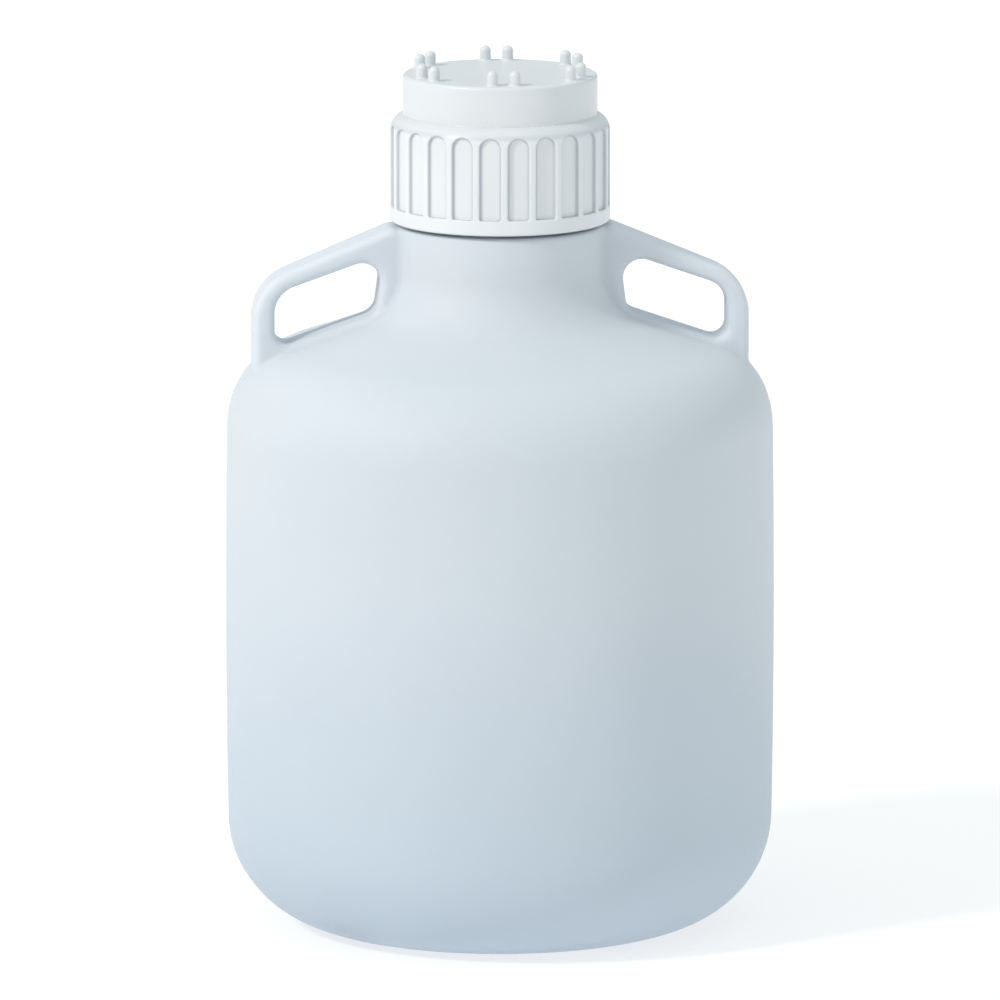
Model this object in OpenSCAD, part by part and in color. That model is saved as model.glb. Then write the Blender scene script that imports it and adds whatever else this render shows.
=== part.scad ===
// Large wide-mouth carboy jug: blow-moulded cylindrical bottle with two
// shoulder loop handles, a coarse single-start screw closure with grip flutes
// and wrench pegs, and a flat ring gasket that seals on the neck lip.
// Millimetres, +Z up, origin at the centre of the resting face.

/* [Bottle body] */
// Outside diameter of the cylindrical wall
body_d = 250; // [244:1:252]
// Wall thickness of the blown shell
wall = 3; // [2.5:0.1:3.6]
// Radius between the wall and the base
base_corner_r = 50; // [44:1:54]
// Height at which the straight wall ends and the shoulder begins
wall_top_z = 230; // [226:1:232]
// Radius between the wall and the shoulder cone
shoulder_corner_r = 38; // [35:1:40]
// Slope of the shoulder cone, degrees above horizontal
shoulder_slope = 19; // [17:0.5:21]

/* [Base] */
// Inner radius of the flat ring that the jug stands on
ring_inner_r = 60; // [52:1:66]
// Height of the pushed-up centre of the base
push_up = 6; // [3:0.5:9]

/* [Neck] */
// Radius of the plain neck below the closure
collar_r = 47.5; // [46.5:0.5:48]
// Height of the shelf at the top of the plain neck
collar_z = 322.4; // [322:0.1:322.6]
// Fillet radius between the shoulder cone and the neck
neck_fillet_r = 26; // [22:1:28]
// Outside radius of the threaded finish (83 mm finish)
finish_r = 41.3; // [41:0.1:41.4]
// Bore radius of the neck
bore_r = 38.3; // [37.5:0.1:38.6]
// Height of the sealing lip
lip_z = 381.5; // [380.5:0.5:381.5]

/* [Thread] */
// Lead of the single-start right-hand thread
lead = 10; // [9:0.5:11]
// Turns of thread on the neck
neck_turns = 1.6; // [1.25:0.05:1.8]
// Turns of thread inside the closure
cap_turns = 1.3; // [1:0.05:1.5]
// Crest radius of the neck thread
neck_crest_r = 44.7; // [44.2:0.1:44.8]
// Crest radius of the closure thread
cap_crest_r = 42.5; // [42.4:0.1:42.9]

/* [Handles] */
// How far each handle reaches from the centre line
handle_reach = 113; // [111:0.5:114]
// Width of a handle across its flat, front to back
handle_w = 24; // [20:1:26]
// Slope of the top of the handle's upper arm, degrees
arm_slope = 22.6; // [21:0.2:24]
// Slope of the underside of the arm, degrees
arm_under_slope = 19.6; // [18:0.2:21]
// Height of the underside of the arm where it leaves the neck
arm_under_z = 308.8; // [307:0.1:309.5]
// Thickness of the outer leg
leg_t = 9.6; // [8:0.1:10.5]
// Outer corner radius of the handle
handle_corner_r = 24; // [18:1:25]

/* [Closure] */
// Outside radius of the fluted skirt
skirt_r = 50; // [49.6:0.1:50.2]
// Height of the closure's lower edge
cap_z = 324; // [323.8:0.1:324.4]
// Radius of the drum on top of the skirt
drum_r = 44.2; // [43.9:0.1:44.6]
// Height of the drum's flat top
cap_top_z = 391; // [390:0.5:392]
// Number of grip flutes
flutes = 24; // [18:1:26]
// Turn of the closed cap's flutes and pegs about the axis, degrees
cap_turn = -3.1; // [-7.5:0.1:7.5]
// Height of the grip ribs above the floor of a flute
flute_depth = 1.9; // [1.4:0.1:2.2]
// Width of a flute's floor
flute_floor_w = 8.8; // [8:0.1:9.6]
// Spread of a flank for each millimetre of rib height
flank_spread = 0.45; // [0.3:0.05:0.6]
// Height of the plain band below the flutes
band_h = 7; // [5:0.5:9]

/* [Wrench pegs] */
// Number of peg pairs round the drum's top
peg_pairs = 6; // [3:1:8]
// Radius of the circle that the pairs stand on
peg_circle_r = 38.5; // [36:0.5:39.5]
// Distance between the two pegs of a pair
peg_gap = 10.2; // [8:0.1:12]
// Diameter of a peg
peg_d = 5.2; // [4:0.1:6]
// Height of a peg above the drum
peg_h = 7; // [4:0.5:9]

/* [Gasket] */
// Thickness of the flat ring gasket
gasket_t = 2.4; // [2:0.1:2.4]

/* [Hidden] */
$fn = 96;

// --- shared geometry -------------------------------------------------------
body_r = body_d / 2;
// points on an arc, centre c, radius r, from angle a to b, both ends included
function arc(c, r, a, b, n) =
    [for (i = [0:n]) [c[0] + r * cos(a + (b - a) * i / n), c[1] + r * sin(a + (b - a) * i / n)]];
// cone line of the shoulder: it leaves the corner round at 90 - slope
cone_r = body_r - shoulder_corner_r + shoulder_corner_r * sin(shoulder_slope);
cone_z = wall_top_z + shoulder_corner_r * cos(shoulder_slope);
function shoulder_z(r) = cone_z + (cone_r - r) * tan(shoulder_slope);
fillet_cx = collar_r + neck_fillet_r;
fillet_cz = shoulder_z(fillet_cx) + neck_fillet_r / cos(shoulder_slope);
// pushed-up base: a smooth cosine rise from the resting ring to the centre
function dome(r0, r1, h, z, n) =
    [for (i = [0:n]) [r0 + (r1 - r0) * i / n, z + h * (1 + cos(180 * i / n)) / 2]];

outer_shape = concat(
    [[0, push_up]],
    dome(22, ring_inner_r, push_up, 0, 10),
    arc([body_r - base_corner_r, base_corner_r], base_corner_r, -90, 0, 18),
    arc([body_r - shoulder_corner_r, wall_top_z], shoulder_corner_r, 0, 90 - shoulder_slope, 14),
    arc([fillet_cx, fillet_cz], neck_fillet_r, 270 - shoulder_slope, 180, 10),
    arc([collar_r - 2, collar_z - 2], 2, 0, 90, 5)
);
inner_shape = concat(
    [[0, push_up + wall]],
    dome(22, ring_inner_r, push_up, wall, 10),
    arc([body_r - base_corner_r, base_corner_r], base_corner_r - wall, -90, 0, 18),
    arc([body_r - shoulder_corner_r, wall_top_z], shoulder_corner_r - wall, 0, 90 - shoulder_slope, 14),
    arc([fillet_cx, fillet_cz], neck_fillet_r + wall, 270 - shoulder_slope, 180, 10),
    arc([collar_r - wall - 6.2, collar_z - 13], 6.2, 0, 90, 6)
);
// solid of revolution of everything inside the bottle's outer surface
module outer_solid() {
    rotate_extrude($fn = 128)
        polygon(concat(outer_shape, [[0, collar_z]]));
}

// One screw-thread ridge as a closed helical sweep of a trapezoid. It runs from
// angle a0 for turns, its centre line at z0 + lead * angle / 360, and both
// ends sink into the wall over 30 degrees.
module ridge(root_r, crest_r, root_w, crest_w, a0, z0, turns) {
    seg = 36;
    n = round(turns * seg);
    fade = 3;
    function grow(i) = min(1, (i + 0.4) / fade, (n - i + 0.4) / fade);
    function ring(i) = let (
            a = a0 + 360 * i / seg,
            z = z0 + lead * i / seg,
            g = grow(i),
            c = root_r + (crest_r - root_r) * g,
            w = crest_w * (0.5 + 0.5 * g) / 2)
        [[root_r * cos(a), root_r * sin(a), z - root_w / 2],
         [c * cos(a), c * sin(a), z - w],
         [c * cos(a), c * sin(a), z + w],
         [root_r * cos(a), root_r * sin(a), z + root_w / 2]];
    pts = [for (i = [0:n]) each ring(i)];
    inward = crest_r < root_r;
    function quad(a, b, c, d) = inward ? [[a, b, c], [a, c, d]] : [[a, c, b], [a, d, c]];
    sides = [for (i = [0:n - 1]) for (k = [0:3]) let (k2 = (k + 1) % 4)
        each quad(4 * i + k, 4 * (i + 1) + k, 4 * (i + 1) + k2, 4 * i + k2)];
    caps = concat(quad(0, 1, 2, 3), quad(4 * n + 3, 4 * n + 2, 4 * n + 1, 4 * n));
    polyhedron(points = pts, faces = concat(sides, caps), convexity = 6);
}

// --- bottle ----------------------------------------------------------------
thread_z0 = 331.5;
module bottle_body() {
    color([0.86, 0.90, 0.94]) {
        rotate_extrude($fn = 128)
            polygon(concat(
                outer_shape,
                [[finish_r, collar_z], [finish_r, lip_z - 0.6], [finish_r - 0.6, lip_z],
                 [bore_r + 0.6, lip_z], [bore_r, lip_z - 0.6]],
                [for (i = [len(inner_shape) - 1:-1:0])
                    inner_shape[i][0] < bore_r && inner_shape[i][1] > wall_top_z
                        ? [bore_r, inner_shape[i][1]] : inner_shape[i]]
            ));
        ridge(finish_r - 0.7, neck_crest_r, 5, 1.8, 200, thread_z0, neck_turns);
    }
}

// --- handles ---------------------------------------------------------------
// A loop moulded on each side: a sloping arm from the neck, an outer leg down
// to the shoulder, a web at the neck and a low sill over the shoulder.
arm_k = tan(arm_slope);
function arm_top(x) = 319.2 - (x - 57.7) * arm_k;
function arm_under(x) = arm_under_z - (x - 57.7) * tan(arm_under_slope);
sill_k = tan(shoulder_slope);
function sill(x) = shoulder_z(x) + 2.2;
web_x = 53.6;
// corner of two lines rounded by r: p is the corner, a and b the points before
// and after it
function unit(v) = v / norm(v);
function round_corner(a, p, b, r, n) = let (
        u = unit(a - p), v = unit(b - p),
        half = acos(u * v) / 2,
        t = r / tan(half),
        c = p + unit(u + v) * (r / sin(half)),
        s = p + u * t - c, e = p + v * t - c,
        turn = s[0] * e[1] - s[1] * e[0] > 0 ? 1 : -1,
        sweep = turn * (180 - 2 * half),
        s0 = atan2(s[1], s[0]))
    [for (i = [0:n]) c + r * [cos(s0 + sweep * i / n), sin(s0 + sweep * i / n)]];

// where the sloping top of the arm reaches the height of the neck's shelf
arm_shelf_x = 57.7 + (319.2 - (collar_z - 0.4)) / arm_k;
module handle_outline() {
    leg_x = handle_reach;
    corner = [leg_x, arm_top(leg_x)];
    polygon(concat(
        [[44, 240], [44, collar_z - 0.4], [arm_shelf_x, collar_z - 0.4]],
        round_corner([arm_shelf_x, collar_z - 0.4], corner, [leg_x, 250], handle_corner_r, 12),
        [[leg_x, 240]]
    ));
}
module handle_loop() {
    lx = handle_reach - leg_t;
    a = [web_x, arm_under(web_x)];
    b = [lx, arm_under(lx)];
    c = [lx, sill(lx)];
    d = [web_x + 3.5, sill(web_x + 3.5)];
    polygon(concat(
        round_corner(d, a, b, 8.5, 8),
        round_corner(a, b, c, 13, 8),
        round_corner(b, c, d, 6, 8),
        round_corner(c, d, a, 8, 8)
    ));
}
module one_handle() {
    difference() {
        rotate([90, 0, 0])
            linear_extrude(height = handle_w, center = true)
                difference() {
                    handle_outline();
                    handle_loop();
                }
        outer_solid();
    }
}
module right_handle() {
    color([0.84, 0.88, 0.93]) one_handle();
}
module left_handle() {
    color([0.84, 0.88, 0.93]) mirror([1, 0, 0]) one_handle();
}

// --- closure ---------------------------------------------------------------
cap_inner_r = 45.8;
drum_inner_r = 41.8;
plate_z = cap_top_z - 4.2;
land_z = lip_z + 0.05 + gasket_t + 0.05;
round_r = 8;
shoulder_c = [skirt_r - round_r, 365];
module closure_shell() {
    meet = shoulder_c[1] + sqrt(round_r * round_r - pow(drum_r - shoulder_c[0], 2));
    a1 = acos((drum_r - shoulder_c[0]) / round_r);
    rotate_extrude($fn = 128)
        polygon(concat(
            [[cap_inner_r + 0.8, cap_z], [skirt_r - 0.8, cap_z], [skirt_r, cap_z + 0.8]],
            arc(shoulder_c, round_r, 0, a1, 8),
            arc([drum_r - 1.5, cap_top_z - 1.5], 1.5, 0, 90, 5),
            [[0, cap_top_z], [0, plate_z], [36.8, plate_z], [36.8, land_z],
             [drum_inner_r, land_z], [drum_inner_r, 366], [cap_inner_r, 360],
             [cap_inner_r, cap_z + 0.8]]
        ));
}
module peg() {
    translate([0, 0, cap_top_z - 1]) cylinder(d = peg_d, h = peg_h + 1 - peg_d / 2, $fn = 32);
    translate([0, 0, cap_top_z + peg_h - peg_d / 2]) sphere(d = peg_d, $fn = 32);
}
// one flute: a prism with drafted flanks, and a round head cut by a cone whose
// axis points outwards
module flute() {
    over = 1.2;
    w0 = flute_floor_w / 2;
    w1 = w0 + (flute_depth + over) * flank_spread;
    head_z = cap_z + 39.4;
    translate([0, 0, cap_z + band_h])
        linear_extrude(height = head_z - cap_z - band_h)
            polygon([[skirt_r - flute_depth, -w0], [skirt_r + over, -w1],
                     [skirt_r + over, w1], [skirt_r - flute_depth, w0]]);
    translate([skirt_r - flute_depth, 0, head_z]) rotate([0, 90, 0])
        cylinder(h = flute_depth + over, r1 = w0, r2 = w1, $fn = 48);
}
module closure() {
    color([0.96, 0.96, 0.97]) {
        difference() {
            closure_shell();
            for (i = [0:flutes - 1]) rotate([0, 0, (i + 0.5) * 360 / flutes + cap_turn]) flute();
        }
        for (i = [0:peg_pairs - 1]) rotate([0, 0, i * 360 / peg_pairs - 90 + cap_turn])
            for (s = [-1, 1]) translate([peg_circle_r, s * peg_gap / 2, 0]) peg();
        ridge(cap_inner_r + 0.5, cap_crest_r, 5, 1.8, 200, thread_z0 - 3.2, cap_turns);
    }
}

// --- gasket ----------------------------------------------------------------
module gasket() {
    color([0.80, 0.82, 0.84])
        translate([0, 0, lip_z + 0.05])
            rotate_extrude($fn = 128)
                polygon([[37.2, 0.4], [37.6, 0], [41.2, 0], [41.6, 0.4],
                         [41.6, gasket_t - 0.4], [41.2, gasket_t], [37.6, gasket_t], [37.2, gasket_t - 0.4]]);
}

bottle_body();
left_handle();
right_handle();
closure();
gasket();
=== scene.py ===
"""Large wide-mouth carboy jug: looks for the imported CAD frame.
The bottle (body, neck finish and both loop handles) is one blow-moulded skin, the closure and the gasket are moulded
pieces. Shapes are signed distance fields in millimetres, turned into clean quad meshes and pulled onto the true surface."""
import math

import bpy
import numpy as np
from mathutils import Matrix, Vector


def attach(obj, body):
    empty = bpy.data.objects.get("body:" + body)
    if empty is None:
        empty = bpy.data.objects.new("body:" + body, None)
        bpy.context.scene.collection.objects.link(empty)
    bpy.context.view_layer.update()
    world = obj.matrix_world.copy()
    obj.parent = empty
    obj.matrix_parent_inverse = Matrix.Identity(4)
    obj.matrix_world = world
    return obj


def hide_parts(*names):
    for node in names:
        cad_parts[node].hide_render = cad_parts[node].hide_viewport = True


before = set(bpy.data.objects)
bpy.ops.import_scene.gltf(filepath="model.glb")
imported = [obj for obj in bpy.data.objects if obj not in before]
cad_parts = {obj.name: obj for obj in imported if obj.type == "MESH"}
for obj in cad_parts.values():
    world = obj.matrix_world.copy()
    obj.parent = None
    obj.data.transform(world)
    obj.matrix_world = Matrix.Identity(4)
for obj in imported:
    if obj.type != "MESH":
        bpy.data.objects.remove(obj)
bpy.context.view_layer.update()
MM = 0.001
RAD = math.radians

# ------------------------------------------------------------------ dimensions, mm (the CAD's own)
BODY_R, WALL = 125.0, 3.0
BASE_R, WALL_TOP, SH_R, SLOPE = 50.0, 230.0, 38.0, RAD(19.0)
RING_R, PUSH_UP = 60.0, 6.0
COLLAR_R, COLLAR_Z, NECK_FILLET = 47.5, 322.4, 26.0
FINISH_R, BORE_R, LIP_Z = 41.3, 38.3, 381.5
LEAD, THREAD_Z0, THREAD_A0 = 10.0, 331.5, RAD(200.0)
NECK_TURNS, CAP_TURNS = 1.6, 1.3
REACH, HANDLE_W, LEG_T, CORNER_R = 113.0, 24.0, 9.6, 24.0
ARM_SLOPE, UNDER_SLOPE, UNDER_Z = RAD(22.6), RAD(19.6), 308.8
SKIRT_R, CAP_Z, DRUM_R, CAP_TOP = 50.0, 324.0, 44.2, 391.0
FLUTES, BAND_H, CAP_TURN = 24, 7.0, RAD(-3.1)
PEG_PAIRS, PEG_CIRCLE, PEG_GAP, PEG_D, PEG_H = 6, 38.5, 10.2, 5.2, 7.0
GASKET_T = 2.4
CAP_INNER, DRUM_INNER = 45.8, 41.8
PLATE_Z, LAND_Z = CAP_TOP - 4.2, LIP_Z + 0.1 + GASKET_T

CONE_R = BODY_R - SH_R + SH_R * math.sin(SLOPE)
CONE_Z = WALL_TOP + SH_R * math.cos(SLOPE)


def shoulder_z(r):
    return CONE_Z + (CONE_R - r) * math.tan(SLOPE)


FILLET_X = COLLAR_R + NECK_FILLET
FILLET_Z = shoulder_z(FILLET_X) + NECK_FILLET / math.cos(SLOPE)


# ------------------------------------------------------------------ 2-D profiles
def arc(cx, cy, r, a, b, n):
    t = np.radians(np.linspace(a, b, n + 1))
    return np.stack([cx + r * np.cos(t), cy + r * np.sin(t)], 1)


def line(a, b, n):
    t = np.linspace(0, 1, n + 1)[:, None]
    return np.array(a) + t * (np.array(b) - np.array(a))


def barrel(p):
    """The blown wall is very slightly barrel-shaped: it draws in by up to 0.8 mm towards its ends."""
    p = np.array(p, float)
    u = np.clip(((p[:, 1] - 138.0) / 92.0) ** 2, 0, 1)
    w = np.clip((p[:, 0] - 60.0) / 60.0, 0, 1)
    p[:, 0] -= 0.8 * u * w
    return p


def dome(z, n=24):
    t = np.linspace(0, 1, n + 1)
    return np.stack([18 + (RING_R - 18) * t, z + PUSH_UP * (1 + np.cos(np.pi * t)) / 2], 1)


OUTER = barrel(np.concatenate([
    [[0.0, PUSH_UP]],
    dome(0.0),
    arc(BODY_R - BASE_R, BASE_R, BASE_R, -90, 0, 60),
    line([BODY_R, 54], [BODY_R, WALL_TOP - 4], 40),
    arc(BODY_R - SH_R, WALL_TOP, SH_R, 0, 90 - math.degrees(SLOPE), 50),
    arc(FILLET_X, FILLET_Z, NECK_FILLET, 270 - math.degrees(SLOPE), 180, 40),
    arc(COLLAR_R - 2, COLLAR_Z - 2, 2, 0, 90, 10),
    arc(FINISH_R + 1.0, COLLAR_Z + 1.0, 1.0, 270, 180, 6),
    [[FINISH_R, 345.0], [0.0, 345.0]],
]))
INNER = barrel(np.concatenate([
    arc(FINISH_R - 0.7, LIP_Z - 0.7, 0.7, 0, 90, 4),
    arc(BORE_R + 0.7, LIP_Z - 0.7, 0.7, 90, 180, 4),
    line([BORE_R, LIP_Z - 4], [BORE_R, COLLAR_Z - 4], 14),
    arc(COLLAR_R - WALL - 6.2, COLLAR_Z - 13, 6.2, 84, 0, 6),
    arc(FILLET_X, FILLET_Z, NECK_FILLET + WALL, 180, 270 - math.degrees(SLOPE), 10),
    line([FILLET_X + 4, shoulder_z(FILLET_X + 4) - WALL * 1.06], [CONE_R - 4, shoulder_z(CONE_R - 4) - WALL * 1.06], 3),
    arc(BODY_R - SH_R, WALL_TOP, SH_R - WALL, 90 - math.degrees(SLOPE), 0, 10),
    line([BODY_R - WALL, WALL_TOP - 12], [BODY_R - WALL, 62], 9),
    arc(BODY_R - BASE_R, BASE_R, BASE_R - WALL, 0, -90, 12),
    dome(WALL, 10)[::-1],
]))


def poly_table(pts, lo, hi, step, skip_axis=False):
    """Signed distance to a closed outline, sampled on a grid. Negative inside."""
    gx = np.arange(lo[0], hi[0] + step, step)
    gy = np.arange(lo[1], hi[1] + step, step)
    X, Y = np.meshgrid(gx, gy, indexing="ij")
    best = np.full(X.shape, 1e9)
    inside = np.zeros(X.shape, bool)
    nxt = np.roll(pts, -1, 0)
    for (ax, ay), (bx, by) in zip(pts, nxt):
        dx, dy = bx - ax, by - ay
        l2 = dx * dx + dy * dy
        if l2 < 1e-12:
            continue
        if not (skip_axis and ax <= 1e-6 and bx <= 1e-6):
            h = np.clip(((X - ax) * dx + (Y - ay) * dy) / l2, 0, 1)
            best = np.minimum(best, (X - ax - dx * h) ** 2 + (Y - ay - dy * h) ** 2)
        if ay != by:
            inside ^= ((ay > Y) != (by > Y)) & (X < ax + (Y - ay) * dx / dy)
    d = np.sqrt(best)
    d[inside] *= -1
    return (lo[0], lo[1], step, d.astype(np.float64))


def look_up(table, x, y):
    x0, y0, step, d = table
    u = np.clip((x - x0) / step, 0, d.shape[0] - 1.001)
    v = np.clip((y - y0) / step, 0, d.shape[1] - 1.001)
    i, j = u.astype(np.int32), v.astype(np.int32)
    fu, fv = u - i, v - j
    return ((d[i, j] * (1 - fu) + d[i + 1, j] * fu) * (1 - fv)
            + (d[i, j + 1] * (1 - fu) + d[i + 1, j + 1] * fu) * fv)


def smin(a, b, k):
    h = np.maximum(k - np.abs(a - b), 0) / k
    return np.minimum(a, b) - h * h * k / 4


def smax(a, b, k):
    return -smin(-a, -b, k)


# ------------------------------------------------------------------ handle outline, in its own X-Z plane
def round_corner(a, p, b, r, n=24):
    a, p, b = (np.array(v, float) for v in (a, p, b))
    u = (a - p) / np.linalg.norm(a - p)
    v = (b - p) / np.linalg.norm(b - p)
    half = math.acos(float(u @ v)) / 2
    t = r / math.tan(half)
    m = (u + v) / np.linalg.norm(u + v)
    c = p + m * (r / math.sin(half))
    s, e = p + u * t - c, p + v * t - c
    turn = 1 if s[0] * e[1] - s[1] * e[0] > 0 else -1
    a0 = math.atan2(s[1], s[0])
    w = a0 + turn * np.linspace(0, math.pi - 2 * half, n + 1)
    return np.stack([c[0] + r * np.cos(w), c[1] + r * np.sin(w)], 1)


def arm_top(x):
    return 319.2 - (x - 57.7) * math.tan(ARM_SLOPE)


def arm_under(x):
    return UNDER_Z - (x - 57.7) * math.tan(UNDER_SLOPE)


def sill(x):
    return shoulder_z(x) + 2.2


WEB_X, LEG_IN = 53.6, REACH - LEG_T
SHELF_Z = COLLAR_Z - 0.4
SHELF_X = 57.7 + (319.2 - SHELF_Z) / math.tan(ARM_SLOPE)
HANDLE_OUT = np.concatenate([
    [[30.0, 236.0], [30.0, SHELF_Z]],
    round_corner([30, SHELF_Z], [SHELF_X, SHELF_Z], [REACH, arm_top(REACH)], 8, 10),
    round_corner([SHELF_X, SHELF_Z], [REACH, arm_top(REACH)], [REACH, 250], CORNER_R, 40),
    [[REACH, 236.0]],
])
LOOP_A, LOOP_B = [WEB_X, arm_under(WEB_X)], [LEG_IN, arm_under(LEG_IN)]
LOOP_C, LOOP_D = [LEG_IN, sill(LEG_IN)], [WEB_X + 3.5, sill(WEB_X + 3.5)]
HANDLE_HOLE = np.concatenate([
    round_corner(LOOP_D, LOOP_A, LOOP_B, 8.5),
    round_corner(LOOP_A, LOOP_B, LOOP_C, 13),
    round_corner(LOOP_B, LOOP_C, LOOP_D, 6),
    round_corner(LOOP_C, LOOP_D, LOOP_A, 8),
])
T_OUTER = poly_table(OUTER, (0, -8), (136, 338), 0.5, skip_axis=True)
T_HOUT = poly_table(HANDLE_OUT, (24, 228), (126, 334), 0.5)
T_HOLE = poly_table(HANDLE_HOLE, (24, 228), (126, 334), 0.5)


def seam(y, height, width):
    return height * np.exp(-(y / width) ** 2)


def f_bottle(P):
    """The bottle's outer skin, filled: body of revolution, two moulded loops, mould seam in the X-Z plane."""
    x, y, z = P[..., 0], P[..., 1], P[..., 2]
    r = np.sqrt(x * x + y * y)
    body = look_up(T_OUTER, r, z)
    ax = np.abs(x)
    edge = 3.4
    flat = np.maximum(look_up(T_HOUT, ax, z), -look_up(T_HOLE, ax, z))
    # the loops were pinched between the mould halves: a little thinner towards their outer edge
    half = HANDLE_W / 2 - 0.9 * np.clip((ax - 60) / 50, 0, 1)
    q1, q2 = flat + edge, np.abs(y) - half + edge
    loop = np.minimum(np.maximum(q1, q2), 0) + np.hypot(np.maximum(q1, 0), np.maximum(q2, 0)) - edge
    loop = np.where((ax < 26) | (z < 230), 50.0, loop)
    d = smin(body, loop, 2.2)
    # the seam fades out where the jug stands
    line_h = np.where(z > 322.0, 0.0, 0.28 * np.clip((z - 0.8) / 2.5, 0, 1))
    return d - seam(y, line_h, 0.75)


def f_ridge(r, z, th, crest, root, turns, z0, inward):
    """A helical ridge of trapezoid section, its ends sunk into the wall over 30 degrees."""
    base = np.mod(th - THREAD_A0, 2 * math.pi)
    k = np.round(((z - z0) / LEAD * 2 * math.pi - base) / (2 * math.pi))
    out = np.full(r.shape, 50.0)
    for shift in (-1, 0, 1):
        total = base + 2 * math.pi * (k + shift)
        ok = (total >= -0.05) & (total <= 2 * math.pi * turns + 0.05)
        g = np.clip(np.minimum(total, 2 * math.pi * turns - total) / RAD(30), 0.02, 1)
        g = g * g * (3 - 2 * g)
        c = root + (crest - root) * g
        dz = np.abs(z - z0 - LEAD * total / (2 * math.pi))
        if inward:
            hw = 0.9 + (r - crest) * 0.42
            d = np.maximum((dz - hw) * 0.92, c - r)
        else:
            hw = 0.9 + (crest - r) * 0.39
            d = np.maximum((dz - hw) * 0.93, r - c)
        out = np.minimum(out, np.where(ok, d, 50.0))
    return out


ROUND_R = 8.0
SH_C = (SKIRT_R - ROUND_R, 365.0)
A1 = math.degrees(math.acos((DRUM_R - SH_C[0]) / ROUND_R))
CLOSURE = np.concatenate([
    arc(CAP_INNER + 1.0, CAP_Z + 1.0, 1.0, 180, 270, 6),
    arc(SKIRT_R - 1.0, CAP_Z + 1.0, 1.0, 270, 360, 6),
    arc(SH_C[0], SH_C[1], ROUND_R, 0, A1, 24),
    arc(DRUM_R - 1.6, CAP_TOP - 1.6, 1.6, 0, 90, 10),
    [[0.0, CAP_TOP], [0.0, PLATE_Z], [36.8, PLATE_Z], [36.8, LAND_Z], [DRUM_INNER, LAND_Z],
     [DRUM_INNER, 366.0], [CAP_INNER, 360.0]],
])
T_CLOSURE = poly_table(CLOSURE, (0, 318), (56, 400), 0.25, skip_axis=True)


def f_closure(P):
    x, y, z = P[..., 0], P[..., 1], P[..., 2]
    r = np.sqrt(x * x + y * y)
    th = np.arctan2(y, x)
    turned = th - CAP_TURN
    d = look_up(T_CLOSURE, r, z)
    # grip flutes: a flat floor between low ribs with drafted flanks, and a round head that runs into the shoulder
    pitch = 2 * math.pi / FLUTES
    t = np.mod(turned, pitch) - pitch / 2
    py, px = r * np.sin(t), r * np.cos(t)
    half = 4.4 + 0.45 * (px - 48.1)
    head = (np.hypot(py, np.maximum(z - (CAP_Z + 39.4), 0)) - half) / 1.0966
    foot = (CAP_Z + BAND_H) - z
    side = smax(head, foot, 0.8)
    d = smax(d, -smax(side, 48.1 - px, 0.6), 0.5)
    # wrench pegs with domed tops and a small foot fillet
    a = np.mod(turned + math.pi / 2 + math.pi / PEG_PAIRS, 2 * math.pi / PEG_PAIRS) - math.pi / PEG_PAIRS
    ux, uy = r * np.cos(a) - PEG_CIRCLE, np.abs(r * np.sin(a)) - PEG_GAP / 2
    rr = np.hypot(ux, uy)
    zt = CAP_TOP + PEG_H - PEG_D / 2
    draft = 0.10 * np.clip((z - CAP_TOP) / PEG_H, 0, 1)
    peg = np.where(z > zt, np.hypot(rr, z - zt) - PEG_D / 2 + draft, rr - PEG_D / 2 + draft)
    peg = np.maximum(peg, (CAP_TOP - 1.0) - z)
    d = smin(d, peg, 1.3)
    ridge = f_ridge(r, z, th, 42.5, CAP_INNER + 0.5, CAP_TURNS, THREAD_Z0 - 3.2, True)
    ridge = np.maximum(ridge, r - (CAP_INNER + 0.6))
    return smin(d, ridge, 0.5)


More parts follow.
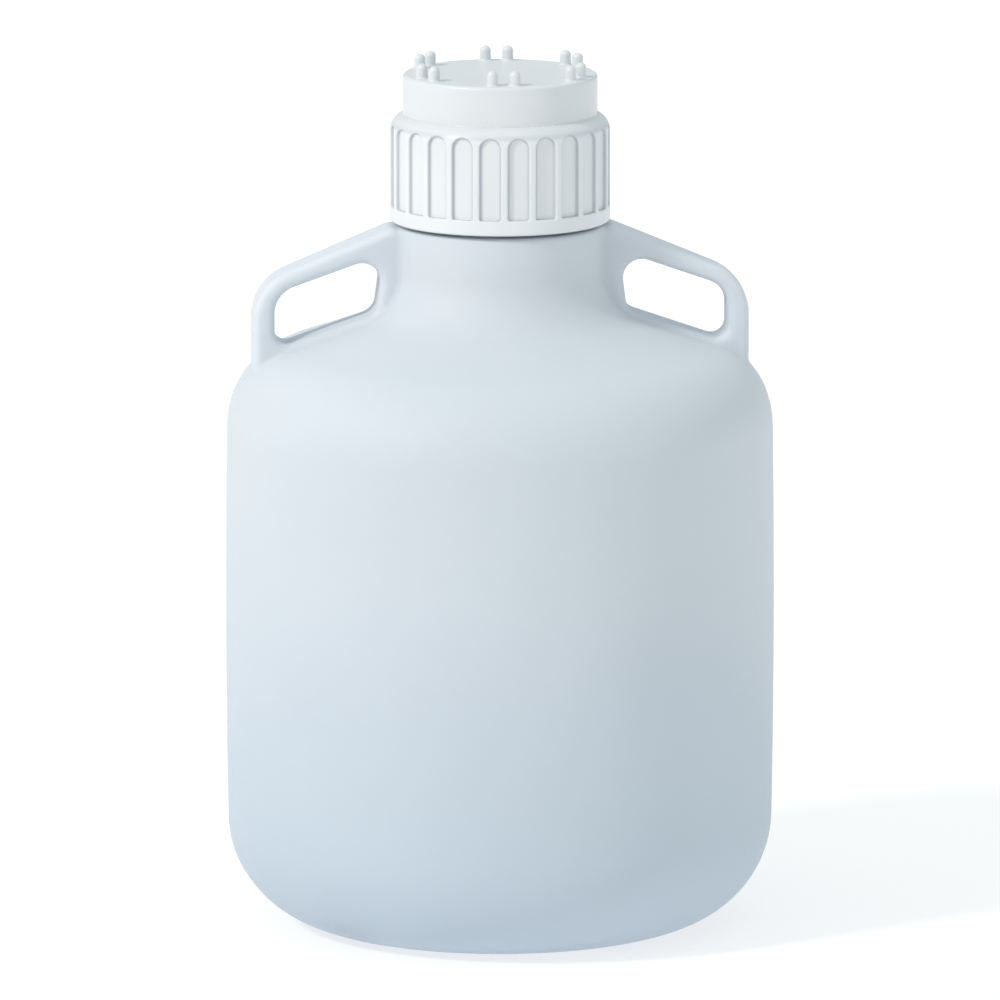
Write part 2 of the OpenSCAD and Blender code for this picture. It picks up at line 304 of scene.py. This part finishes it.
# ------------------------------------------------------------------ field to mesh
def surface_nets(f, xs, ys, zs):
    """Quads round the zero surface of f on a grid of uneven spacing. It stays open where it leaves the grid."""
    xs, ys, zs = (np.asarray(v, float) for v in (xs, ys, zs))
    F = np.empty((len(xs), len(ys), len(zs)))
    X, Y = np.meshgrid(xs, ys, indexing="ij")
    for k, z in enumerate(zs):
        F[:, :, k] = f(np.stack([X, Y, np.full_like(X, z)], -1))
    S = F < 0
    n = [a - 1 for a in F.shape]
    corners = [(i, j, k) for i in (0, 1) for j in (0, 1) for k in (0, 1)]
    count = np.zeros(n, np.int8)
    for i, j, k in corners:
        count += S[i:i + n[0], j:j + n[1], k:k + n[2]]
    active = (count > 0) & (count < 8)
    ci, cj, ck = np.nonzero(active)
    index = np.full(n, -1, np.int64)
    index[ci, cj, ck] = np.arange(len(ci))
    acc, num = np.zeros((len(ci), 3)), np.zeros(len(ci))
    for a in corners:
        for axis in range(3):
            if a[axis]:
                continue
            b = list(a)
            b[axis] = 1
            fa = F[ci + a[0], cj + a[1], ck + a[2]]
            fb = F[ci + b[0], cj + b[1], ck + b[2]]
            cross = (fa < 0) != (fb < 0)
            t = np.where(cross, fa / np.where(cross, fa - fb, 1), 0)
            pa = np.stack([xs[ci + a[0]], ys[cj + a[1]], zs[ck + a[2]]], 1)
            pb = np.stack([xs[ci + b[0]], ys[cj + b[1]], zs[ck + b[2]]], 1)
            acc += np.where(cross[:, None], pa + t[:, None] * (pb - pa), 0)
            num += cross
    verts = acc / num[:, None]
    quads = []
    for axis in range(3):
        o1, o2 = (axis + 1) % 3, (axis + 2) % 3
        lo = [slice(None)] * 3
        hi = [slice(None)] * 3
        lo[axis], hi[axis] = slice(0, -1), slice(1, None)
        a, b = S[tuple(lo)], S[tuple(hi)]
        e = np.argwhere(a != b)
        ok = (e[:, o1] > 0) & (e[:, o2] > 0) & (e[:, o1] < n[o1]) & (e[:, o2] < n[o2])
        e = e[ok]
        flip = a[e[:, 0], e[:, 1], e[:, 2]]
        ring = []
        for d1, d2 in ((-1, -1), (0, -1), (0, 0), (-1, 0)):
            c = e.copy()
            c[:, o1] += d1
            c[:, o2] += d2
            ring.append(index[c[:, 0], c[:, 1], c[:, 2]])
        q = np.stack(ring, 1)
        q[~flip] = q[~flip][:, ::-1]
        quads.append(q)
    return verts, np.concatenate(quads)


def gradient(f, P, h=0.35):
    g = np.empty_like(P)
    for a in range(3):
        d = np.zeros(3)
        d[a] = h
        g[:, a] = (f(P + d) - f(P - d)) / (2 * h)
    return g


def settle(f, verts, quads, rounds=4, fixed=None, most=0.8):
    """Evens the quads out along the surface, and pulls every vertex onto the zero surface."""
    n = len(verts)
    e = np.concatenate([quads[:, [i, (i + 1) % 4]] for i in range(4)])
    deg = np.bincount(e[:, 0], minlength=n) + np.bincount(e[:, 1], minlength=n)
    move = np.ones(n, bool) if fixed is None else ~fixed
    for k in range(rounds + 2):
        if k < rounds:
            s = np.zeros_like(verts)
            for a in range(3):
                s[:, a] = (np.bincount(e[:, 0], verts[e[:, 1], a], n) + np.bincount(e[:, 1], verts[e[:, 0], a], n)) / deg
            verts[move] += 0.5 * (s - verts)[move]
        g = gradient(f, verts)
        l2 = np.maximum((g * g).sum(1), 0.05)
        step = (f(verts) / l2)[:, None] * g
        size = np.linalg.norm(step, axis=1, keepdims=True)
        step *= np.minimum(1, most / np.maximum(size, 1e-9))
        verts[move] -= step[move]
    return verts


def spaced(*parts):
    """Grid lines: (start, stop, step), one run after another."""
    out = [np.array([parts[0][0]])]
    for a, b, s in parts:
        n = max(1, int(round((b - a) / s)))
        out.append(np.linspace(a, b, n + 1)[1:])
    return np.concatenate(out)


def make_mesh(name, verts, faces, normals=None):
    me = bpy.data.meshes.new(name)
    me.from_pydata((np.asarray(verts) * MM).tolist(), [], faces if isinstance(faces, list) else faces.tolist())
    me.polygons.foreach_set("use_smooth", np.ones(len(me.polygons), bool))
    me.update()
    if normals is not None:
        me.normals_split_custom_set_from_vertices(normals.tolist())
    ob = bpy.data.objects.new(name, me)
    bpy.context.scene.collection.objects.link(ob)
    return ob


def unit_rows(g):
    return g / np.maximum(np.linalg.norm(g, axis=1, keepdims=True), 1e-9)


# ------------------------------------------------------------------ bottle
SPLIT_Z = 326.4


def build_bottle():
    xs = spaced((-128, -40, 1.9), (-40, 40, 2.0), (40, 128, 1.9))
    ys = spaced((-128, -15, 2.15), (-15, -3, 1.7), (-3, -1.0, 0.8), (-1.0, 1.0, 0.4), (1.0, 3, 0.8), (3, 15, 1.7), (15, 128, 2.15))
    zs = spaced((-3.3, 3.3, 1.1), (3.3, 60, 2.6), (60, 218, 6.3), (218, 246, 2.8), (246, 318, 1.7), (318, SPLIT_Z, 0.84))
    v, q = surface_nets(f_bottle, xs, ys, zs)
    # the open ring at the top of the field lies on the plain finish
    e = np.sort(np.concatenate([q[:, [i, (i + 1) % 4]] for i in range(4)]), axis=1)
    ue, cnt = np.unique(e, axis=0, return_counts=True)
    rim = np.unique(ue[cnt == 1])
    fixed = np.zeros(len(v), bool)
    fixed[rim] = True
    v = settle(f_bottle, v, q, 4, fixed, 1.2)
    rim = rim[np.argsort(np.arctan2(v[rim, 1], v[rim, 0]))]
    th = np.arctan2(v[rim, 1], v[rim, 0])
    v[rim] = np.stack([FINISH_R * np.cos(th), FINISH_R * np.sin(th), np.full(len(rim), SPLIT_Z)], 1)
    nrm = unit_rows(gradient(f_bottle, v))
    m = len(rim)
    even = th[0] + np.arange(m) * 2 * math.pi / m
    even += np.mean(th - even)
    # rows of the threaded finish, the lip, the bore and the whole inside, in the ring's own columns
    z_rows = np.concatenate([np.linspace(SPLIT_Z + 0.7, 352.5, 58), np.linspace(354, LIP_Z - 2, 10)])
    rows = [(FINISH_R, z, 1) for z in z_rows] + [(r, z, 0) for r, z in INNER]
    allv, alln, faces = [v], [nrm], [q.tolist()]
    prev = rim.copy()
    base = len(v)
    pr = np.array([(r, z) for r, z, _ in rows])
    tan = np.gradient(pr, axis=0)
    for i, (r, z, threaded) in enumerate(rows):
        w = min(1.0, (i + 1) / 6.0)
        t = th + (even - th) * (w * w * (3 - 2 * w))
        if threaded:
            h = ridge_height(t, np.full(m, z))
            rr = r + h
            dz = (ridge_height(t, np.full(m, z + 0.1)) - ridge_height(t, np.full(m, z - 0.1))) / 0.2
            nn = unit_rows(np.stack([np.cos(t), np.sin(t), -dz], 1))
        else:
            rr = np.full(m, r)
            n2 = np.array([tan[i, 1], -tan[i, 0]])
            n2 = n2 / np.linalg.norm(n2)
            nn = np.stack([n2[0] * np.cos(t), n2[0] * np.sin(t), np.full(m, n2[1])], 1)
        allv.append(np.stack([rr * np.cos(t), rr * np.sin(t), np.full(m, z)], 1))
        alln.append(nn)
        cur = base + np.arange(m)
        a, b = prev, np.roll(prev, -1)
        c, d = np.roll(cur, -1), cur
        faces.append(np.stack([a, b, c, d], 1).tolist())
        prev = cur
        base += m
    allv.append(np.array([[0, 0, PUSH_UP + WALL]]))
    alln.append(np.array([[0, 0, 1.0]]))
    faces.append([[int(a), int(b), base] for a, b in zip(prev, np.roll(prev, -1))])
    verts = np.concatenate(allv)
    ob = make_mesh("bottle_skin", verts, [f for part in faces for f in part], np.concatenate(alln))
    return ob


def ridge_height(th, z):
    base = np.mod(th - THREAD_A0, 2 * math.pi)
    k = np.round(((z - THREAD_Z0) / LEAD * 2 * math.pi - base) / (2 * math.pi))
    out = np.zeros(len(z))
    for shift in (-1, 0, 1):
        total = base + 2 * math.pi * (k + shift)
        g = np.clip(np.minimum(total, 2 * math.pi * NECK_TURNS - total) / RAD(30), 0, 1)
        g = g * g * (3 - 2 * g)
        dz = np.abs(z - THREAD_Z0 - LEAD * total / (2 * math.pi))
        t = np.clip((2.2 - dz) / 1.35, 0, 1)
        out = np.maximum(out, 3.35 * g * t * t * (3 - 2 * t))
    return out


# ------------------------------------------------------------------ closure
def build_closure():
    s = 0.72
    xs = spaced((-50.8, 50.8, s))
    zs = spaced((322.6, 334, 0.72), (334, 358, 0.95), (358, 373, 0.72), (373, 382, 1.3), (382, 399.3, 0.6))
    v, q = surface_nets(f_closure, xs, xs + 0.013, zs)
    v = settle(f_closure, v, q, 2, None, 0.4)
    return make_mesh("closure_moulding", v, q, unit_rows(gradient(f_closure, v, 0.12)))


def lathe(name, profile, n=128):
    """Closed ring of revolution from a closed outline of (r, z) points."""
    p = np.asarray(profile, float)
    m = len(p)
    t = np.arange(n) * 2 * math.pi / n
    v = np.stack([(p[:, 0][:, None] * np.cos(t)), (p[:, 0][:, None] * np.sin(t)), np.repeat(p[:, 1][:, None], n, 1)], -1).reshape(-1, 3)
    i, j = np.meshgrid(np.arange(m), np.arange(n), indexing="ij")
    a = i * n + j
    b = i * n + (j + 1) % n
    c = ((i + 1) % m) * n + (j + 1) % n
    d = ((i + 1) % m) * n + j
    return make_mesh(name, v, np.stack([a, b, c, d], -1).reshape(-1, 4))


def build_gasket():
    z0, z1, r0, r1 = LIP_Z + 0.05, LIP_Z + 0.05 + GASKET_T, 37.2, 41.6
    prof = np.concatenate([
        arc(r1 - 0.5, z0 + 0.5, 0.5, -90, 0, 6), arc(r1 - 0.5, z1 - 0.5, 0.5, 0, 90, 6),
        arc(r0 + 0.5, z1 - 0.5, 0.5, 90, 180, 6), arc(r0 + 0.5, z0 + 0.5, 0.5, 180, 270, 6),
    ])
    return lathe("gasket_ring", prof)


# ------------------------------------------------------------------ materials
class Nodes:
    def __init__(self, name):
        self.mat = bpy.data.materials.new(name)
        self.mat.use_nodes = True
        self.nt = self.mat.node_tree
        self.b = self.nt.nodes["Principled BSDF"]
        self.coord = self.nt.nodes.new("ShaderNodeTexCoord")

    def new(self, kind, **inputs):
        n = self.nt.nodes.new(kind)
        for k, v in inputs.items():
            key = k.replace("_", " ")
            if key in n.inputs:
                n.inputs[key].default_value = v
            else:
                setattr(n, k, v)
        return n

    def link(self, a, b):
        self.nt.links.new(a, b)

    def noise(self, scale, detail=3.0, rough=0.5):
        n = self.new("ShaderNodeTexNoise", Scale=scale, Detail=detail, Roughness=rough)
        self.link(self.coord.outputs["Object"], n.inputs["Vector"])
        return n

    def ramp(self, fac, stops):
        n = self.nt.nodes.new("ShaderNodeValToRGB")
        n.color_ramp.elements[0].position, n.color_ramp.elements[0].color = stops[0]
        n.color_ramp.elements[1].position, n.color_ramp.elements[1].color = stops[-1]
        for pos, col in stops[1:-1]:
            e = n.color_ramp.elements.new(pos)
            e.color = col
        self.link(fac, n.inputs["Fac"])
        return n

    def map(self, value, a, b, c, d):
        n = self.nt.nodes.new("ShaderNodeMapRange")
        for i, x in zip(("From Min", "From Max", "To Min", "To Max"), (a, b, c, d)):
            n.inputs[i].default_value = x
        self.link(value, n.inputs["Value"])
        return n

    def bump(self, height, strength, distance, normal=None):
        n = self.nt.nodes.new("ShaderNodeBump")
        n.inputs["Strength"].default_value = strength
        n.inputs["Distance"].default_value = distance
        self.link(height, n.inputs["Height"])
        if normal is not None:
            self.link(normal, n.inputs["Normal"])
        return n


def milky_polyethylene():
    m = Nodes("milky_polyethylene")
    b = m.b
    # the resin's own colour: cool white, a touch denser and bluer in slow cloudy patches where the wall is thicker
    cloud = m.noise(5.5, 3.0, 0.45)
    col = m.ramp(cloud.outputs["Fac"], [(0.30, (0.630, 0.674, 0.720, 1)), (0.50, (0.652, 0.694, 0.738, 1)), (0.72, (0.676, 0.716, 0.756, 1))])
    # painted shade: the colour darkens and turns bluer towards the base, standing in for the light falling off down the
    # wall
    split = m.nt.nodes.new("ShaderNodeSeparateXYZ")
    m.link(m.coord.outputs["Object"], split.inputs["Vector"])
    painted_low_shade = m.ramp(m.map(split.outputs["Z"], 0.0, 0.30, 0.0, 1.0).outputs["Result"],
                   [(0.0, (0.71, 0.79, 0.865, 1)), (0.2, (0.80, 0.865, 0.91, 1)), (0.55, (0.93, 0.955, 0.97, 1)),
                    (0.85, (0.965, 0.98, 0.985, 1)), (1.0, (1.0, 1.0, 1.0, 1))])
    mix = m.nt.nodes.new("ShaderNodeMixRGB")
    mix.blend_type = "MULTIPLY"
    mix.inputs["Fac"].default_value = 1.0
    m.link(col.outputs["Color"], mix.inputs["Color1"])
    m.link(painted_low_shade.outputs["Color"], mix.inputs["Color2"])
    m.link(mix.outputs["Color"], b.inputs["Base Color"])
    rough = m.noise(240.0, 2.0, 0.5)
    m.link(m.map(rough.outputs["Fac"], 0.3, 0.7, 0.54, 0.64).outputs["Result"], b.inputs["Roughness"])
    b.inputs["IOR"].default_value = 1.51
    b.inputs["Specular IOR Level"].default_value = 0.34
    b.inputs["Subsurface Weight"].default_value = 0.45
    b.inputs["Subsurface Radius"].default_value = (1.0, 1.0, 1.0)
    b.inputs["Subsurface Scale"].default_value = 0.007
    # blown skin: very long shallow waves, then the mould's fine blasted grain
    wave = m.noise(26.0, 2.0, 0.4)
    grain = m.noise(1500.0, 2.0, 0.6)
    n1 = m.bump(wave.outputs["Fac"], 0.35, 0.0016)
    n2 = m.bump(grain.outputs["Fac"], 0.22, 0.00012, n1.outputs["Normal"])
    m.link(n2.outputs["Normal"], b.inputs["Normal"])
    return m.mat


def white_polypropylene():
    m = Nodes("white_polypropylene")
    b = m.b
    tone = m.noise(34.0, 3.0, 0.5)
    col = m.ramp(tone.outputs["Fac"], [(0.30, (0.685, 0.715, 0.730, 1)), (0.70, (0.712, 0.740, 0.753, 1))])
    # painted shade and light: by radius the flute flanks are darkened and the flute floors and rib crests lightened,
    # standing in for the shading of the grip flutes
    split = m.nt.nodes.new("ShaderNodeSeparateXYZ")
    m.link(m.coord.outputs["Object"], split.inputs["Vector"])
    flat = m.nt.nodes.new("ShaderNodeCombineXYZ")
    m.link(split.outputs["X"], flat.inputs["X"])
    m.link(split.outputs["Y"], flat.inputs["Y"])
    away = m.new("ShaderNodeVectorMath", operation="LENGTH")
    m.link(flat.outputs["Vector"], away.inputs[0])
    painted_flute_shade = m.ramp(m.map(away.outputs["Value"], 0.0481, 0.0500, 0.0, 1.0).outputs["Result"],
                  [(0.06, (1.07, 1.065, 1.06, 1)), (0.20, (0.74, 0.76, 0.78, 1)), (0.62, (0.80, 0.82, 0.84, 1)), (0.88, (1.09, 1.085, 1.08, 1))])
    skirt = m.map(split.outputs["Z"], 0.3668, 0.3700, 1.0, 0.0)
    mix = m.nt.nodes.new("ShaderNodeMixRGB")
    mix.blend_type = "MULTIPLY"
    m.link(skirt.outputs["Result"], mix.inputs["Fac"])
    m.link(col.outputs["Color"], mix.inputs["Color1"])
    m.link(painted_flute_shade.outputs["Color"], mix.inputs["Color2"])
    m.link(mix.outputs["Color"], b.inputs["Base Color"])
    rough = m.noise(420.0, 2.0, 0.5)
    m.link(m.map(rough.outputs["Fac"], 0.3, 0.7, 0.30, 0.40).outputs["Result"], b.inputs["Roughness"])
    b.inputs["IOR"].default_value = 1.49
    b.inputs["Specular IOR Level"].default_value = 0.5
    b.inputs["Subsurface Weight"].default_value = 0.05
    b.inputs["Subsurface Radius"].default_value = (1.0, 1.0, 1.0)
    b.inputs["Subsurface Scale"].default_value = 0.0015
    grain = m.noise(2300.0, 2.0, 0.6)
    sink = m.noise(90.0, 2.0, 0.4)
    n1 = m.bump(sink.outputs["Fac"], 0.25, 0.0003)
    n2 = m.bump(grain.outputs["Fac"], 0.18, 0.00008, n1.outputs["Normal"])
    m.link(n2.outputs["Normal"], b.inputs["Normal"])
    return m.mat


def soft_elastomer():
    m = Nodes("soft_elastomer")
    b = m.b
    tone = m.noise(160.0, 3.0, 0.5)
    col = m.ramp(tone.outputs["Fac"], [(0.3, (0.60, 0.61, 0.62, 1)), (0.7, (0.68, 0.69, 0.70, 1))])
    m.link(col.outputs["Color"], b.inputs["Base Color"])
    rough = m.noise(900.0, 2.0, 0.5)
    m.link(m.map(rough.outputs["Fac"], 0.3, 0.7, 0.62, 0.75).outputs["Result"], b.inputs["Roughness"])
    grain = m.noise(2600.0, 2.0, 0.6)
    m.link(m.bump(grain.outputs["Fac"], 0.3, 0.0001).outputs["Normal"], b.inputs["Normal"])
    return m.mat


def studio_floor():
    m = Nodes("studio_floor")
    tone = m.noise(3.0, 2.0, 0.5)
    col = m.ramp(tone.outputs["Fac"], [(0.3, (0.39, 0.39, 0.39, 1)), (0.7, (0.41, 0.41, 0.41, 1))])
    m.link(col.outputs["Color"], m.b.inputs["Base Color"])
    m.b.inputs["Roughness"].default_value = 0.9
    m.b.inputs["Specular IOR Level"].default_value = 0.1
    # a light table: it glows from below, so it stays white all over and takes only a faint shadow
    m.b.inputs["Emission Color"].default_value = (1, 1, 1, 1)
    m.b.inputs["Emission Strength"].default_value = 0.64
    return m.mat


# ------------------------------------------------------------------ assembly
bottle = build_bottle()
closure = build_closure()
gasket = build_gasket()
bottle.data.materials.append(milky_polyethylene())
closure.data.materials.append(white_polypropylene())
gasket.data.materials.append(soft_elastomer())

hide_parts("bottle_body", "left_handle", "right_handle")
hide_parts("closure")
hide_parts("gasket")
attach(bottle, "bottle")
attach(closure, "cap")
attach(gasket, "seal")

# ------------------------------------------------------------------ stage, light, camera
scene = bpy.context.scene
scene.view_settings.view_transform = "Standard"
scene.view_settings.look = "None"
scene.view_settings.exposure = 0.0
scene.view_settings.gamma = 1.0

bpy.ops.mesh.primitive_plane_add(size=120, location=(0, 0, 0))
floor = bpy.context.object
floor.name = "floor"
floor.data.materials.append(studio_floor())

world = bpy.data.worlds.new("studio")
scene.world = world
world.use_nodes = True
bg = world.node_tree.nodes["Background"]
# a wide soft sky of studio light: brighter overhead than at the horizon
sky = world.node_tree.nodes
way = sky.new("ShaderNodeTexCoord")
parts = sky.new("ShaderNodeSeparateXYZ")
world.node_tree.links.new(way.outputs["Generated"], parts.inputs["Vector"])
fade = sky.new("ShaderNodeMapRange")
for key, value in (("From Min", 0.0), ("From Max", 1.0), ("To Min", 0.50), ("To Max", 0.98)):
    fade.inputs[key].default_value = value
world.node_tree.links.new(parts.outputs["Z"], fade.inputs["Value"])
world.node_tree.links.new(fade.outputs["Result"], bg.inputs["Strength"])
bg.inputs["Color"].default_value = (0.90, 0.975, 1.0, 1)


def key_light(azimuth, elevation, strength, spread, color):
    """A large soft source a long way off, so that it falls evenly on the whole stage."""
    data = bpy.data.lights.new("key", "SUN")
    data.energy, data.angle, data.color = strength, spread, color
    ob = bpy.data.objects.new("key", data)
    way = Vector((math.sin(azimuth) * math.cos(elevation), -math.cos(azimuth) * math.cos(elevation), math.sin(elevation)))
    ob.location = way * 3
    ob.rotation_euler = (-way).to_track_quat("-Z", "Y").to_euler()
    scene.collection.objects.link(ob)
    return ob


key_light(RAD(-60), RAD(38), 1.56, RAD(8), (1.0, 0.93, 0.90))

AZ, DIST, CAM_Z, AIM_Z, LENS = RAD(-5.5), 6.0, 1.308, 0.1942, 13.386 * 36
cam_data = bpy.data.cameras.new("camera")
cam_data.sensor_fit = "HORIZONTAL"
cam_data.sensor_width = 36
cam_data.lens = LENS
cam_data.clip_end = 60
cam = bpy.data.objects.new("camera", cam_data)
cam.location = (DIST * math.sin(AZ), -DIST * math.cos(AZ), CAM_Z)
cam.rotation_euler = (Vector((0, 0, AIM_Z)) - cam.location).to_track_quat("-Z", "Y").to_euler()
scene.collection.objects.link(cam)
scene.camera = cam
